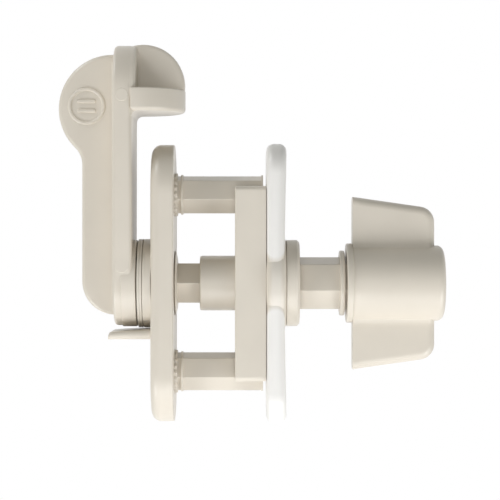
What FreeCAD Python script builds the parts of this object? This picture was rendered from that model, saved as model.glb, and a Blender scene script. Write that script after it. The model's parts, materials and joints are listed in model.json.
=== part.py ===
"""Two-sided gate latch: hooked lever, square spindle, clamped plates and winged knob.

Frame, in millimetres: X runs along the spindle toward the knob, Z is up and Y is across.
The origin is on the spindle axis, in the gate-side face of the lever-side plate.
"""
import FreeCAD, Part
import math
import os

from FreeCAD import Vector

# ---- driving dimensions -------------------------------------------------------------
POST_SPACING = 44.5          # between the centres of the two posts
POST_Z = POST_SPACING / 2
GAP = 0.3                    # air between pieces that move past each other

ARM_LEFT = -15.06            # lever arm, a flat blade square to the spindle
ARM_RIGHT = -10.25
ARM_FOOT_R = 10.6
ARM_HEAD_R = 11.9
ARM_HEAD_Z = 47.85
ARM_EDGE = 0.9
PAD_RIGHT = -9.3             # thicker part of the arm's head, above the shelf
PAD_LOW = 44.0

FIN_T = 6.4                  # thumb fin, a flat blade along the spindle
FIN_BACK = -11.2
FIN_HEAD_X = -15.5
FIN_HEAD_Z = 43.75
FIN_HEAD_R = 13.6
FIN_STEM_X = -23.2
FIN_NECK_R = 6.0
FIN_FOOT_X = -14.8
FIN_FOOT_Z = 0.5
FIN_EDGE = 1.0

HOOK_X = -9.7                # half-round shelf and quarter-round rib of the hook
HOOK_R = 12.35
HOOK_LOW = 42.76
HOOK_HIGH = 48.4
RIB_X = -7.85
RIB_Z = 49.5
RIB_R = 10.4
RIB_T = 5.6

HUB_R = 11.1                 # lever boss, washers and bush of the lever side
BOSS_END = -9.35
WASHER_T = 0.55
BUSH_LEFT = -7.82
BUSH_R = 6.6
BUSH_BORE_R = 5.25

PLATE_T = 5.68               # lever-side plate
PLATE_HALF_H = 34.8
PLATE_HALF_W = 12.5
PLATE_ROUND = 2.4

LUG_LEFT = -16.2             # stop lug: a wide tongue, thinner toward its free end
LUG_HALF_W = 9.0
LUG_LOW = -13.81
LUG_TIP_HIGH = -11.99
LUG_ROOT_HIGH = -11.28
LUG_ROOT_DEPTH = 2.6         # let into the lever-side plate

POST_AF = 8.5                # hexagonal posts
POST_END = 22.2
POST_SPIGOT_R = 3.6
POST_SPIGOT_L = 3.6
POST_TURN = 15.0             # the flats' angle about X
COLLAR_R = 5.4
SEAT_DEPTH = 0.4             # spotfaces in the gate-side face of the lever-side plate

PIN_R = 1.25                 # cross pin and its plugs
PIN_X = (ARM_LEFT + ARM_RIGHT) / 2
PIN_Z = 4.5
PIN_HALF = 8.0
PLUG_R = 1.8
PLUG_SEAT = 9.2
PLUG_END = 10.6

SQUARE = 7.2                 # spindle
SQUARE_LEFT = -14.4
SQUARE_RIGHT = 61.0
RING_R = 7.95                # push-on retainer

SLEEVE_LEFT = 6.36           # drive sleeve: round, then hexagonal, then a spigot in the knob
SLEEVE_R = 6.9
SLEEVE_HEX_FROM = 30.4
SLEEVE_HEX_AF = 11.7
SLEEVE_RIGHT = 53.0

BLOCK_LEFT = 15.2            # spacer block
BLOCK_RIGHT = 22.9
BLOCK_HALF_H = 24.2
BLOCK_HALF_W = 9.6

FRONT_LEFT = 22.96           # knob-side plate
FRONT_T = 5.14
FRONT_RIGHT = FRONT_LEFT + FRONT_T
FRONT_HALF_H = 34.9
FRONT_HALF_W = 10.6
FRONT_BULGE_R = 11.9
FRONT_ROUND = 1.9
FRONT_BOW = 0.6
FRONT_CORNER = 7.5
BUSH_TAIL_R = 8.6
FLANGE_R = 10.85             # bush of the knob side
FLANGE_RIGHT = 31.3

SCREW_R = 2.0                # M4 clamp screws
SCREW_TIP = 3.2
HEAD_R = 3.6
HEAD_T = 1.7
SEAT_X = 25.3                # floor of the screw recess in the knob-side plate
SEAT_R = 4.2

NECK_LEFT = 41.4             # knob
NECK_RIGHT = 42.6
NECK_R = 8.2
KNOB_LEFT = 43.1
KNOB_WING_X = 44.66
KNOB_RIGHT = 67.6
KNOB_FLANGE_R = 10.0
KNOB_R = 9.5
WING_HALF = 21.7
WING_TIP_HALF = 19.3
WING_RIGHT = 65.3
WING_T = 5.8
WING_CORNER = 4.0
WING_ROUND = 2.2

X_AXIS = Vector(1, 0, 0)


# ---- shape helpers ------------------------------------------------------------------
def rod(r, x0, x1, y=0.0, z=0.0):
    """Cylinder along X from x0 to x1."""
    return Part.makeCylinder(r, x1 - x0, Vector(x0, y, z), X_AXIS)


def ring(r_out, r_in, x0, x1, y=0.0, z=0.0):
    """Tube along X."""
    return rod(r_out, x0, x1, y, z).cut(rod(r_in, x0 - 1, x1 + 1, y, z))


def cone(r0, r1, x0, x1, z=0.0):
    """Cone along X."""
    return Part.makeCone(r0, r1, x1 - x0, Vector(x0, 0, z), X_AXIS)


def prism(sides, across_flats, x0, x1, turn=0.0, z=0.0):
    """Regular prism along X; with no turn a corner points along +Z."""
    r = across_flats / 2 / math.cos(math.pi / sides)
    corners = []
    for i in range(sides + 1):
        a = math.radians(turn) + 2 * math.pi * i / sides
        corners.append(Vector(x0, r * math.sin(a), z + r * math.cos(a)))
    return Part.Face(Part.makePolygon(corners)).extrude(Vector(x1 - x0, 0, 0))


def box(x0, x1, y0, y1, z0, z1):
    """Box between two corners."""
    return Part.makeBox(x1 - x0, y1 - y0, z1 - z0, Vector(x0, y0, z0))


def cross_rod(r, y0, y1, x, z):
    """Cylinder along Y."""
    return Part.makeCylinder(r, y1 - y0, Vector(x, y0, z), Vector(0, 1, 0))


def fuse(first, *others):
    """One solid from several, with the seams between coplanar faces removed."""
    return first.fuse(list(others)).removeSplitter()


def round_edges(shape, radius, keep):
    """Fillet the edges for which keep(edge) is true."""
    edges = [e for e in shape.Edges if keep(e)]
    return shape.makeFillet(radius, edges)


def lies_at_x(x, tol=1e-3):
    """Test for edges lying wholly in the plane at x."""
    def test(edge):
        b = edge.BoundBox
        return abs(b.XMin - x) < tol and abs(b.XMax - x) < tol
    return test


def lies_at_y(y, tol=1e-3):
    """Test for edges lying wholly in one of the planes at +y and -y."""
    def test(edge):
        b = edge.BoundBox
        return b.YLength < tol and abs(abs(b.YMin) - y) < tol
    return test


def stadium(half_w, half_h, x0, x1):
    """Plate with half-round ends, standing along Z."""
    mid = half_h - half_w
    a = Vector(x0, -half_w, -mid)
    b = Vector(x0, -half_w, mid)
    c = Vector(x0, half_w, mid)
    d = Vector(x0, half_w, -mid)
    top = Part.Arc(b, Vector(x0, 0, half_h), c).toShape()
    bottom = Part.Arc(d, Vector(x0, 0, -half_h), a).toShape()
    wire = Part.Wire([Part.makeLine(a, b), top, Part.makeLine(c, d), bottom])
    return Part.Face(wire).extrude(Vector(x1 - x0, 0, 0))


def save(name, shape):
    """Write one named sub-part."""
    shape.exportStep("parts/" + name + ".step")


# ---- lever side, fixed to the gate --------------------------------------------------
def lever_side_plate():
    """Flat-backed plate with a bore for its bush, two post sockets and the lug's slot."""
    plate = stadium(PLATE_HALF_W, PLATE_HALF_H, -PLATE_T, 0)
    plate = round_edges(plate, PLATE_ROUND, lies_at_x(-PLATE_T))
    plate = round_edges(plate, 0.35, lies_at_x(0))
    cuts = [rod(BUSH_R, -PLATE_T - 1, 1)]
    cuts.append(rod(RING_R + GAP, -SEAT_DEPTH, 1))
    for z in (POST_Z, -POST_Z):
        cuts.append(rod(POST_SPIGOT_R, -POST_SPIGOT_L, 1, 0, z))
        cuts.append(rod(COLLAR_R + GAP, -SEAT_DEPTH, 1, 0, z))
    cuts.append(stop_lug())
    return plate.cut(cuts)


def lever_bush():
    """Flanged bush pressed into the plate; the spindle's round journal turns in it."""
    flange = rod(HUB_R, BUSH_LEFT, -PLATE_T)
    flange = round_edges(flange, 0.3, lies_at_x(BUSH_LEFT))
    tail = rod(BUSH_R, -PLATE_T, -SEAT_DEPTH - 0.05)
    return fuse(flange, tail).cut(rod(BUSH_BORE_R, BUSH_LEFT - 1, 1))


def side_washer(x0):
    """Thin washer between the lever's boss and the bush."""
    return ring(HUB_R, 5.4, x0, x0 + WASHER_T)


def stop_lug():
    """Tongue below the lever's foot that stops the lever just past lying flat."""
    rounding = (LUG_TIP_HIGH - LUG_LOW) / 2 - 0.05
    slope = (LUG_ROOT_HIGH - LUG_TIP_HIGH) / (-PLATE_T - LUG_LEFT)
    root = -PLATE_T + LUG_ROOT_DEPTH
    root_high = LUG_ROOT_HIGH + slope * LUG_ROOT_DEPTH
    corners = [
        Vector(LUG_LEFT, -LUG_HALF_W, LUG_LOW), Vector(root, -LUG_HALF_W, LUG_LOW),
        Vector(root, -LUG_HALF_W, root_high), Vector(LUG_LEFT, -LUG_HALF_W, LUG_TIP_HIGH)]
    side = Part.Face(Part.makePolygon(corners + corners[:1]))
    lug = side.extrude(Vector(0, 2 * LUG_HALF_W, 0))
    lug = round_edges(lug, rounding, lambda e: e.BoundBox.XLength > 1)
    return round_edges(lug, 0.5, lies_at_x(LUG_LEFT))


def post(z):
    """Hexagonal post on a pressed spigot, bored for a threaded insert."""
    body = prism(6, POST_AF, -SEAT_DEPTH, POST_END - 0.45, POST_TURN, z)
    collar = rod(COLLAR_R - 0.3, 1.7, 2.3, 0, z)
    end = rod(POST_AF / 2 + 0.7, POST_END - 0.45, POST_END, 0, z)
    spigot = rod(POST_SPIGOT_R, -POST_SPIGOT_L, 0, 0, z)
    return fuse(body, collar, end, spigot).cut(rod(2.9, 1.0, POST_END + 1, 0, z))


def toothed_washer(z):
    """Thin washer with a ring of outward teeth, held under the post's shoulder."""
    teeth = 20
    points = []
    for i in range(2 * teeth + 1):
        r = COLLAR_R if i % 2 == 0 else COLLAR_R - 0.25
        a = math.pi * i / teeth
        points.append(Vector(-SEAT_DEPTH, r * math.sin(a), z + r * math.cos(a)))
    disc = Part.Face(Part.makePolygon(points)).extrude(Vector(SEAT_DEPTH + 0.9, 0, 0))
    return disc.cut(prism(6, POST_AF + 0.02, -1, 2, POST_TURN, z))


def post_insert(z):
    """Brass insert with a groove at mid length and an M4 thread's bore."""
    body = rod(2.9, 1.0, POST_END - 0.3, 0, z).cut(ring(4, 2.6, 11, 12, 0, z))
    return body.cut(rod(SCREW_R + 0.06, 1.6, POST_END, 0, z))


# ---- spindle, lever and knob, turning together --------------------------------------
def arm_blade():
    """Tapered blade with round ends: two circles and their outer tangents."""
    dz = ARM_HEAD_Z
    lean = math.asin((ARM_HEAD_R - ARM_FOOT_R) / dz)
    cy = math.cos(lean)
    cz = -math.sin(lean)
    x = ARM_LEFT
    foot_l = Vector(x, -ARM_FOOT_R * cy, ARM_FOOT_R * cz)
    foot_r = Vector(x, ARM_FOOT_R * cy, ARM_FOOT_R * cz)
    head_l = Vector(x, -ARM_HEAD_R * cy, dz + ARM_HEAD_R * cz)
    head_r = Vector(x, ARM_HEAD_R * cy, dz + ARM_HEAD_R * cz)
    head = Part.Arc(head_l, Vector(x, 0, dz + ARM_HEAD_R), head_r).toShape()
    foot = Part.Arc(foot_r, Vector(x, 0, -ARM_FOOT_R), foot_l).toShape()
    wire = Part.Wire([Part.makeLine(foot_l, head_l), head, Part.makeLine(head_r, foot_r), foot])
    blade = Part.Face(wire).extrude(Vector(ARM_RIGHT - ARM_LEFT, 0, 0))
    blade = round_edges(blade, ARM_EDGE, lies_at_x(ARM_LEFT))
    return round_edges(blade, ARM_EDGE, lies_at_x(ARM_RIGHT))


def thumb_fin():
    """Blade along the spindle: a round head, a neck tangent to head and stem, a round foot."""
    y = -FIN_T / 2
    neck_x = FIN_STEM_X - FIN_NECK_R
    reach = FIN_HEAD_R + FIN_NECK_R
    drop = math.sqrt(reach ** 2 - (FIN_HEAD_X - neck_x) ** 2)
    share = FIN_HEAD_R / reach
    head_end = Vector(FIN_HEAD_X + (neck_x - FIN_HEAD_X) * share, y, FIN_HEAD_Z - drop * share)
    neck_z = FIN_HEAD_Z - drop
    half_turn = math.atan2(drop, FIN_HEAD_X - neck_x) / 2
    neck_mid = Vector(neck_x + FIN_NECK_R * math.cos(half_turn), y,
                      neck_z + FIN_NECK_R * math.sin(half_turn))
    stem_top = Vector(FIN_STEM_X, y, neck_z)
    foot_r = FIN_FOOT_X - FIN_STEM_X
    diagonal = foot_r * math.sqrt(0.5)
    foot_side = Vector(FIN_STEM_X, y, FIN_FOOT_Z)
    foot_mid = Vector(FIN_FOOT_X - diagonal, y, FIN_FOOT_Z - diagonal)
    foot_low = Vector(FIN_FOOT_X, y, FIN_FOOT_Z - foot_r)
    top = FIN_HEAD_Z + math.sqrt(FIN_HEAD_R ** 2 - (FIN_BACK - FIN_HEAD_X) ** 2)
    back_top = Vector(FIN_BACK, y, top)
    back_low = Vector(FIN_BACK, y, foot_low.z)
    head_mid = Vector(FIN_HEAD_X - FIN_HEAD_R, y, FIN_HEAD_Z)
    wire = Part.Wire([
        Part.Arc(back_top, head_mid, head_end).toShape(),
        Part.Arc(head_end, neck_mid, stem_top).toShape(),
        Part.makeLine(stem_top, foot_side),
        Part.Arc(foot_side, foot_mid, foot_low).toShape(),
        Part.makeLine(foot_low, back_low),
        Part.makeLine(back_low, back_top)])
    fin = Part.Face(wire).extrude(Vector(0, FIN_T, 0))
    return round_edges(fin, FIN_EDGE, lies_at_y(FIN_T / 2))


def grip_mark():
    """Plain raised ring with two bars inside, on both faces of the fin."""
    x = -22.0
    z = 44.4
    half = FIN_T / 2 + 0.4
    outer = cross_rod(4.7, -half, half, x, z)
    inner = cross_rod(3.8, -half - 1, half + 1, x, z)
    mark = outer.cut(inner)
    bars = []
    for dz in (-1.2, 1.2):
        bars.append(box(x - 2.3, x + 2.3, -half, half, z + dz - 0.45, z + dz + 0.45))
    return mark.fuse(bars)


def hook_shelf():
    """Half-round shelf, its lower edge rounded, with a round-backed rib above it."""
    keep = box(ARM_RIGHT - 0.8, 20, -20, 20, 30, 70)
    shelf = Part.makeCylinder(HOOK_R, HOOK_HIGH - HOOK_LOW, Vector(HOOK_X, 0, HOOK_LOW))
    shelf = round_edges(shelf, 1.0, lambda e: e.BoundBox.ZMax < HOOK_LOW + 1e-3)
    rib = cross_rod(RIB_R, -RIB_T / 2, RIB_T / 2, RIB_X, RIB_Z)
    rib = round_edges(rib, 0.7, lies_at_y(RIB_T / 2))
    rib = rib.common(box(ARM_RIGHT - 0.8, 20, -20, 20, HOOK_HIGH - 0.6, 70))
    return fuse(shelf.common(keep), rib)


def head_pad():
    """Disc that thickens the arm's head above the shelf."""
    pad = rod(ARM_HEAD_R, ARM_RIGHT - 1.5, PAD_RIGHT, 0, ARM_HEAD_Z)
    pad = round_edges(pad, ARM_EDGE, lies_at_x(PAD_RIGHT))
    return pad.common(box(-20, 0, -20, 20, PAD_LOW, 70))


def hook_lever():
    """Arm, thumb fin, hook and boss in one moulding, bored for spindle and cross pin."""
    boss = rod(HUB_R - 0.2, ARM_RIGHT - 0.5, BOSS_END)
    body = fuse(arm_blade(), head_pad(), thumb_fin(), hook_shelf(), boss, grip_mark())
    cuts = [prism(4, SQUARE, SQUARE_LEFT, 1), cross_rod(PIN_R, -20, 20, PIN_X, PIN_Z)]
    cuts.append(cross_rod(PLUG_R, PLUG_SEAT, 20, PIN_X, PIN_Z))
    cuts.append(cross_rod(PLUG_R, -20, -PLUG_SEAT, PIN_X, PIN_Z))
    return body.cut(cuts)


def lever_pin():
    """Steel cross pin through the arm that crosses the spindle's upper corner."""
    return cross_rod(PIN_R, -PIN_HALF, PIN_HALF, PIN_X, PIN_Z)


def pin_plugs():
    """Two stepped plugs that close the cross pin's hole in the arm's edges."""
    plugs = []
    for side in (-1, 1):
        ends = sorted((side * PLUG_SEAT, side * (PIN_HALF + 0.05)))
        stem = cross_rod(PIN_R, ends[0], ends[1], PIN_X, PIN_Z)
        ends = sorted((side * PLUG_SEAT, side * PLUG_END))
        plugs.append(fuse(cross_rod(PLUG_R, ends[0], ends[1], PIN_X, PIN_Z), stem))
    return Part.makeCompound(plugs)


def square_spindle():
    """Square bar with a round journal in the lever-side bush and a notch for the pin."""
    bar = prism(4, SQUARE, SQUARE_LEFT, SQUARE_RIGHT)
    thread = rod(1.6, 44.0, SQUARE_RIGHT + 1)
    pin = cross_rod(PIN_R, -20, 20, PIN_X, PIN_Z)
    return bar.cut([thread, pin])


def spindle_retainer():
    """Push-on ring with a sharp rim that keeps the spindle from pulling out."""
    left = cone(RING_R - 1.2, RING_R, -0.1, 0.3)
    right = cone(RING_R, RING_R - 1.6, 0.3, 0.7)
    return fuse(left, right).cut(prism(4, SQUARE, -1, 3))


def drive_sleeve():
    """Round tube, then a hexagon, both over the square spindle."""
    tube = rod(SLEEVE_R, SLEEVE_LEFT, SLEEVE_HEX_FROM)
    tube = round_edges(tube, 0.4, lies_at_x(SLEEVE_LEFT))
    hexagon = prism(6, SLEEVE_HEX_AF, SLEEVE_HEX_FROM, SLEEVE_RIGHT, 14.0)
    return fuse(tube, hexagon).cut(prism(4, SQUARE, 0, 90))


def neck_ring():
    """Thin ring round the hexagon, against the knob's flange."""
    disc = rod(NECK_R, NECK_LEFT, NECK_RIGHT)
    disc = round_edges(disc, 0.25, lambda e: e.BoundBox.XLength < 1e-3)
    return disc.cut(prism(6, SLEEVE_HEX_AF, 30, 60, 14.0))


def wings():
    """Two opposed wings in one flat blade, sloping toward the outer end."""
    y = -WING_T / 2
    a = Vector(KNOB_WING_X, y, -WING_HALF)
    b = Vector(KNOB_WING_X, y, WING_HALF)
    run = WING_RIGHT - WING_CORNER - KNOB_WING_X
    slope = (WING_HALF - WING_TIP_HALF) / run
    shoulder_z = WING_TIP_HALF
    c = Vector(WING_RIGHT - WING_CORNER, y, shoulder_z)
    bend = WING_CORNER * math.sqrt(0.5)
    c_mid = Vector(c.x + bend, y, c.z - WING_CORNER + bend - slope)
    d = Vector(WING_RIGHT, y, shoulder_z - WING_CORNER)
    e = Vector(d.x, y, -d.z)
    e_mid = Vector(c_mid.x, y, -c_mid.z)
    f = Vector(c.x, y, -c.z)
    wire = Part.Wire([
        Part.makeLine(a, b), Part.makeLine(b, c), Part.Arc(c, c_mid, d).toShape(),
        Part.makeLine(d, e), Part.Arc(e, e_mid, f).toShape(), Part.makeLine(f, a)])
    blade = Part.Face(wire).extrude(Vector(0, WING_T, 0))
    on_side = lies_at_y(WING_T / 2)
    return round_edges(blade, WING_ROUND, lambda e: on_side(e) and e.BoundBox.XMax > KNOB_WING_X + 0.01)


def knob():
    """Round body with a flange and two wings, with a hexagonal socket and a screw recess."""
    body = rod(KNOB_R, KNOB_LEFT + 0.5, KNOB_RIGHT)
    body = round_edges(body, 1.7, lies_at_x(KNOB_RIGHT))
    flange = rod(KNOB_FLANGE_R, KNOB_LEFT, KNOB_WING_X)
    flange = round_edges(flange, 0.3, lies_at_x(KNOB_LEFT))
    solid = fuse(body, flange, wings())
    socket = prism(6, SLEEVE_HEX_AF, KNOB_LEFT - 1, SLEEVE_RIGHT, 14.0)
    square = prism(4, SQUARE, SLEEVE_RIGHT - 1, SQUARE_RIGHT)
    recess = rod(5.4, SQUARE_RIGHT, KNOB_RIGHT + 1)
    return solid.cut([socket, square, recess])


def knob_washer():
    """Washer under the knob screw's head."""
    return ring(4.8, 1.75, SQUARE_RIGHT, SQUARE_RIGHT + 0.8)


def knob_screw():
    """Pan-head screw into the spindle's end, with a cross recess."""
    seat = SQUARE_RIGHT + 0.8
    head = rod(3.3, seat, seat + 2.2)
    head = round_edges(head, 0.9, lies_at_x(seat + 2.2))
    cross = box(seat + 0.9, seat + 3, -0.4, 0.4, -1.8, 1.8)
    other = box(seat + 0.9, seat + 3, -1.8, 1.8, -0.4, 0.4)
    return fuse(head, rod(1.6, seat - 12, seat)).cut([cross, other])


def knob_cap():
    """Snap-in cap over the screw recess."""
    disc = rod(5.4, KNOB_RIGHT - 1.6, KNOB_RIGHT - 0.1)
    disc = round_edges(disc, 0.3, lies_at_x(KNOB_RIGHT - 0.1))
    skirt = ring(5.4, 4.6, KNOB_RIGHT - 3.0, KNOB_RIGHT - 1.6)
    return fuse(disc, skirt)


# ---- knob side, sliding on the posts ------------------------------------------------
def knob_side_plate():
    """Round-edged plate, hollowed lengthwise outside, with a hub swelling and screw recesses."""
    left = FRONT_LEFT
    slab = box(left, FRONT_RIGHT, -FRONT_HALF_W, FRONT_HALF_W, -FRONT_HALF_H, FRONT_HALF_H)
    slab = round_edges(slab, FRONT_CORNER, lambda e: e.BoundBox.XLength > FRONT_T - 0.1)
    bow_r = FRONT_HALF_H ** 2 / (2 * FRONT_BOW)
    slab = slab.cut(cross_rod(bow_r, -20, 20, FRONT_RIGHT - FRONT_BOW + bow_r, 0))
    slab = round_edges(slab, FRONT_ROUND, lambda e: e.BoundBox.XMin > FRONT_RIGHT - 2)
    slab = round_edges(slab, FRONT_ROUND, lies_at_x(left))
    swelling = rod(FRONT_BULGE_R, left, FRONT_RIGHT)
    swelling = round_edges(swelling, FRONT_ROUND, lies_at_x(FRONT_RIGHT))
    swelling = round_edges(swelling, FRONT_ROUND, lies_at_x(left))
    cuts = [rod(BUSH_TAIL_R, left - 1, FRONT_RIGHT + 1)]
    for z in (POST_Z, -POST_Z):
        cuts.append(rod(SCREW_R + GAP, left - 1, FRONT_RIGHT + 1, 0, z))
        cuts.append(rod(SEAT_R, SEAT_X, FRONT_RIGHT + 1, 0, z))
    return fuse(slab, swelling).cut(cuts)


def spacer_block():
    """Block between plate and gate, bored for the sleeve's bush and slotted for the posts."""
    block = box(BLOCK_LEFT, BLOCK_RIGHT, -BLOCK_HALF_W, BLOCK_HALF_W, -BLOCK_HALF_H, BLOCK_HALF_H)
    block = round_edges(block, 1.2, lambda e: e.BoundBox.XLength > 1)
    block = round_edges(block, 0.4, lies_at_x(BLOCK_LEFT))
    cuts = [rod(BUSH_TAIL_R, BLOCK_LEFT - 1, BLOCK_RIGHT + 1)]
    half = POST_AF / 2 / math.cos(math.pi / 6) + 0.35
    for side in (1, -1):
        z = side * POST_Z
        cuts.append(rod(half, BLOCK_LEFT - 1, BLOCK_RIGHT + 1, 0, z))
        z0 = min(z, side * 40)
        cuts.append(box(BLOCK_LEFT - 1, BLOCK_RIGHT + 1, -half, half, z0, z0 + 40 - POST_Z))
    return block.cut(cuts)


def knob_bush():
    """Flanged bush through plate and block; the sleeve slides and turns in it."""
    flange = rod(FLANGE_R, FRONT_RIGHT, FLANGE_RIGHT)
    flange = flange.makeChamfer(0.6, [e for e in flange.Edges if lies_at_x(FLANGE_RIGHT)(e)])
    tail = rod(BUSH_TAIL_R, BLOCK_LEFT + 0.4, FRONT_RIGHT)
    body = fuse(flange, tail).cut(ring(9.5, 8.0, 16.4, 17.2))
    return body.cut(rod(SLEEVE_R + 0.22, 0, 60))


def bush_snap_ring():
    """Open ring in the bush's groove, inside the block's bore."""
    return ring(8.55, 8.05, 16.45, 17.15).cut(box(10, 20, -1.2, 1.2, 0, 20))


def clamp_screw(z):
    """M4 clamp screw with a hexagon socket, seated in the knob-side plate."""
    seat = SEAT_X + 0.6
    head = rod(HEAD_R, seat, seat + HEAD_T, 0, z)
    head = round_edges(head, 0.3, lies_at_x(seat + HEAD_T))
    return fuse(head, rod(SCREW_R, SCREW_TIP, seat, 0, z)).cut(prism(6, 2.5, seat + 0.5, seat + 3, 0, z))


def clamp_washer(z):
    """Washer under a clamp screw's head."""
    return ring(SEAT_R - 0.1, SCREW_R + 0.15, SEAT_X, SEAT_X + 0.6, 0, z)


def main():
    """Build and write every sub-part."""
    os.makedirs("parts", exist_ok=True)
    save("lever_side_plate", lever_side_plate())
    save("lever_bush", lever_bush())
    save("thrust_washer", side_washer(-9.05))
    save("friction_washer", side_washer(-8.45))
    save("stop_lug", stop_lug())
    save("hook_lever", hook_lever())
    save("lever_pin", lever_pin())
    save("pin_plugs", pin_plugs())
    save("square_spindle", square_spindle())
    save("spindle_retainer", spindle_retainer())
    save("drive_sleeve", drive_sleeve())
    save("neck_ring", neck_ring())
    save("knob", knob())
    save("knob_washer", knob_washer())
    save("knob_screw", knob_screw())
    save("knob_cap", knob_cap())
    save("knob_side_plate", knob_side_plate())
    save("spacer_block", spacer_block())
    save("knob_bush", knob_bush())
    save("bush_snap_ring", bush_snap_ring())
    for side, z in (("upper", POST_Z), ("lower", -POST_Z)):
        save(side + "_post", post(z))
        save(side + "_toothed_washer", toothed_washer(z))
        save(side + "_post_insert", post_insert(z))
        save(side + "_clamp_screw", clamp_screw(z))
        save(side + "_clamp_washer", clamp_washer(z))


main()
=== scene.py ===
"""Gate latch: a hooked lever and a winged knob clamped through a gate, as one detailed model."""
import json
import math

import bpy
import numpy as np
from bpy.props import FloatProperty, FloatVectorProperty, PointerProperty
from bpy.types import Operator, Panel, PropertyGroup
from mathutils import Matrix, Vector


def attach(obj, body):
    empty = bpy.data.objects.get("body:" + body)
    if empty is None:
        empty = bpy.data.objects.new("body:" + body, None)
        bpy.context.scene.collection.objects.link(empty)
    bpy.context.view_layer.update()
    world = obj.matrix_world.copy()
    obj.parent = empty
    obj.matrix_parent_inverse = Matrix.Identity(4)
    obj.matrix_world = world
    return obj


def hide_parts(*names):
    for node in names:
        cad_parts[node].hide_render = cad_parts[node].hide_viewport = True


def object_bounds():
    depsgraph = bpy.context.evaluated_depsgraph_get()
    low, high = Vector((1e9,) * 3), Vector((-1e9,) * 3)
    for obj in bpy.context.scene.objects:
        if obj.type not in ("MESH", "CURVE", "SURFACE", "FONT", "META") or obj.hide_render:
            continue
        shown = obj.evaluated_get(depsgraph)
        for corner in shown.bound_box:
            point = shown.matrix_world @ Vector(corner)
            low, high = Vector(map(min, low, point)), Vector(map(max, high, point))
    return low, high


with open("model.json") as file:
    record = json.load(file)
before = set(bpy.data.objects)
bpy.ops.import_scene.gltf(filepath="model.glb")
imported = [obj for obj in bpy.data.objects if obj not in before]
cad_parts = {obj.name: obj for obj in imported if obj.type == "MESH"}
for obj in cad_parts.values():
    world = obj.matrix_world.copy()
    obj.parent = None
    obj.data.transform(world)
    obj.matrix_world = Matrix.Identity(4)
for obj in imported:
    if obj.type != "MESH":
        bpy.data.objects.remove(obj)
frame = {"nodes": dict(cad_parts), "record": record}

bl_info = {
    "name": "Gate latch",
    "version": (1, 0, 0),
    "blender": (4, 5, 0),
    "location": "View3D > Sidebar > Latch",
    "description": "Builds a two-sided gate latch with a hooked lever and a winged knob",
    "category": "Add Mesh",
}

CAD_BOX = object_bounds()
MM = 0.001
ARC_STEP = 5.0          # degrees between the points of an arc, at most
QUARTER_POINTS, COVE_POINTS = 8, 9
MITRE_HALF = 80.0       # half of a corner's angle counts as no more, so that its mitre stays short
CAP_SHARES = np.linspace(0.85, 0.1, 6)      # sizes of the rings that close an end, as shares of its outline
FLAT_RIM = 0.12         # a ring this far inside a flat face's edge keeps the face's shading flat
COVE_SINK = 0.25        # how deep a cove's back lies inside the pieces it joins
CREASE = 38.0           # edges sharper than this, in degrees, stay crisp
# Outside the hub's swelling the knob-side plate takes a painted highlight: a lighter colour that stands in
# for strong light on its sides.
HUB_RADIUS = 0.0117     # of the knob-side plate's swelling, in metres
HUB_FADE = 1.07         # the hub's colour has faded out at this many radii
FLOW_CELLS, SCUFF_CELLS, WAVE_CELLS, GRAIN_CELLS = 90.0, 420.0, 260.0, 3200.0   # noise cells per metre
DULL_CELLS, TURNED_CELLS = 300.0, 500.0                                         # bare metal's own
TURNED_SQUEEZE = 14.0                       # the turning lines are this many times finer along X
WAVE_RELIEF, GRAIN_RELIEF, TURNED_RELIEF = 0.00006, 0.00003, 0.00002            # bump heights in metres
# The second pair of shares varies the painted highlight on the knob-side plate.
MOTTLE, HIGHLIGHT_MOTTLE, DULL = (0.975, 1.02), (0.985, 1.01), 0.85                   # shares of the colour
COAT_WEIGHT, COAT_ROUGHNESS = 0.3, 0.28
LAMP_SIZE, HEAD_LAMP_SIZE = 0.16, 0.05                                          # sides in metres
LOOKS = {}

# ---- sizes and places in millimetres, in the frame's axes ---------------------------------
ARM_LEFT, ARM_RIGHT, ARM_EDGE = -15.06, -10.25, 0.9
ARM_FOOT_R, ARM_HEAD_R, ARM_HEAD_Z = 10.6, 11.9, 47.85
PAD_R, PAD_RIGHT, PAD_LOW = 11.86, -9.3, 44.0
BOSS_R, BOSS_END, BOSS_EDGE = 10.9, -9.35, 0.3
FIN_T, FIN_BACK, FIN_EDGE = 6.4, -11.2, 1.0
FIN_HEAD_X, FIN_HEAD_Z, FIN_HEAD_R = -15.5, 43.75, 13.6
FIN_STEM_X, FIN_NECK_R = -23.2, 6.0
FIN_FOOT_X, FIN_FOOT_Z = -14.8, 0.5
FIN_MIDDLE, FIN_CROWN = (-17.0, 38.0), 0.05
HOOK_X, HOOK_R, HOOK_LOW, HOOK_HIGH = -9.7, 12.35, 42.76, 48.4
RIB_X, RIB_Z, RIB_R, RIB_T, RIB_EDGE = -7.85, 49.5, 10.4, 5.6, 0.9
MARK_X, MARK_Z, MARK_R, MARK_RISE, MARK_BAR_Z = -22.0, 44.4, 4.25, 0.4, 1.2
PIN_X, PIN_Z = (ARM_LEFT + ARM_RIGHT) / 2, 4.5
KNOB_LEFT, KNOB_RIGHT, KNOB_R, KNOB_FLANGE_R = 43.1, 67.6, 9.5, 10.0
CAP_R = 5.45
KNOB_WING_X, WING_RIGHT, WING_T, WING_ROUND, WING_CORNER = 44.66, 65.3, 5.8, 2.0, 4.0
WING_HALF, WING_TIP_HALF = 21.7, 19.3
COVE_WIDE_R, COVE_TIGHT_R, COVE_TURN = 5.0, 0.8, 20.0
NECK_LEFT, NECK_RIGHT, NECK_R, NECK_EDGE = 41.4, 42.6, 8.2, 0.3
POST_Z, POST_AF, POST_END, POST_TURN = 22.25, 8.5, 22.2, 15.0
COLLAR_R, TEETH = 5.4, 20
SQUARE, SQUARE_LEFT, SQUARE_RIGHT, SQUARE_CORNER, RING_R = 7.2, -14.4, 61.0, 0.3, 7.95
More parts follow.
